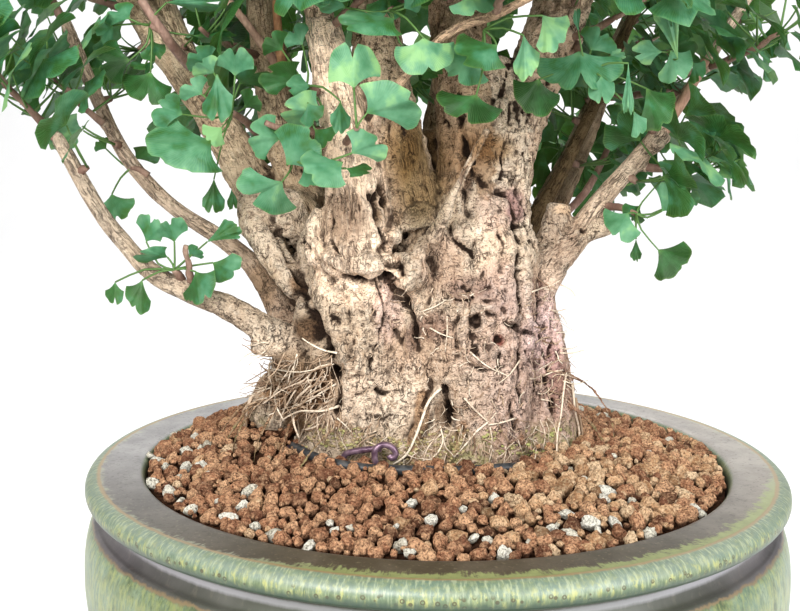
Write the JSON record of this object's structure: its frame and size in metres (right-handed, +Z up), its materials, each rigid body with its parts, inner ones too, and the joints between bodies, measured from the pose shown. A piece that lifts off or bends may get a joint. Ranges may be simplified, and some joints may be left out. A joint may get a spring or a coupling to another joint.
{
  "type": "ginkgo bonsai",
  "caption": "Ginkgo grown as a bonsai: a broad craggy clump trunk with leafy limbs, standing in a round glazed drum pot of granular soil.",
  "frame": {"origin": "on the surface under the pot, at the middle of the whole object's bounding box seen from above", "axes": "+Z up along the pot's axis, -Y towards the front that the tree is shown from, +X to the right of that front"},
  "size_m": [0.6902, 0.52, 0.7775],
  "materials": {
    "glaze": "glossy streaked green ceramic glaze",
    "soil_grit": "matt fired clay granules",
    "bark": "rough corky bark",
    "leaf": "soft satin leaf",
    "tie_wire": "satin anodised",
    "sleeve_rubber": "satin",
    "screen_mesh": "matt"
  },
  "bodies": {
    "root": {"pot": "glaze", "trunk": "bark", "crossing_wire": "tie_wire", "curl_wire": "tie_wire", "wire_sleeve": "sleeve_rubber", "drain_screen_1": "screen_mesh", "drain_screen_2": "screen_mesh", "drain_screen_3": "screen_mesh", "soil": "soil_grit", "leafy_shoot_01": "leaf", "leafy_shoot_02": "leaf", "leafy_shoot_03": "leaf", "leafy_shoot_04": "leaf", "leafy_shoot_05": "leaf", "leafy_shoot_06": "leaf", "leafy_shoot_07": "leaf", "leafy_shoot_08": "leaf", "leafy_shoot_09": "leaf", "leafy_shoot_10": "leaf", "leafy_shoot_11": "leaf", "leafy_shoot_12": "leaf", "leafy_shoot_13": "leaf", "leafy_shoot_14": "leaf", "leafy_shoot_15": "leaf", "leafy_shoot_16": "leaf", "leafy_shoot_17": "leaf", "leafy_shoot_18": "leaf", "leafy_shoot_19": "leaf", "leafy_shoot_20": "leaf", "leafy_shoot_21": "leaf", "leafy_shoot_22": "leaf", "leafy_shoot_23": "leaf", "leafy_shoot_24": "leaf", "leafy_shoot_25": "leaf", "leafy_shoot_26": "leaf", "leafy_shoot_27": "leaf", "leafy_shoot_28": "leaf", "leafy_shoot_29": "leaf", "leafy_shoot_30": "leaf", "leafy_shoot_31": "leaf", "leafy_shoot_32": "leaf", "leafy_shoot_33": "leaf", "leafy_shoot_34": "leaf", "leafy_shoot_35": "leaf", "leafy_shoot_36": "leaf", "leafy_shoot_37": "leaf", "leafy_shoot_38": "leaf", "leafy_shoot_39": "leaf", "leafy_shoot_40": "leaf", "leafy_shoot_41": "leaf", "leafy_shoot_42": "leaf", "leafy_shoot_43": "leaf", "leafy_shoot_44": "leaf", "leafy_shoot_45": "leaf", "leafy_shoot_46": "leaf", "leafy_shoot_47": "leaf"}
  },
  "joints": []
}
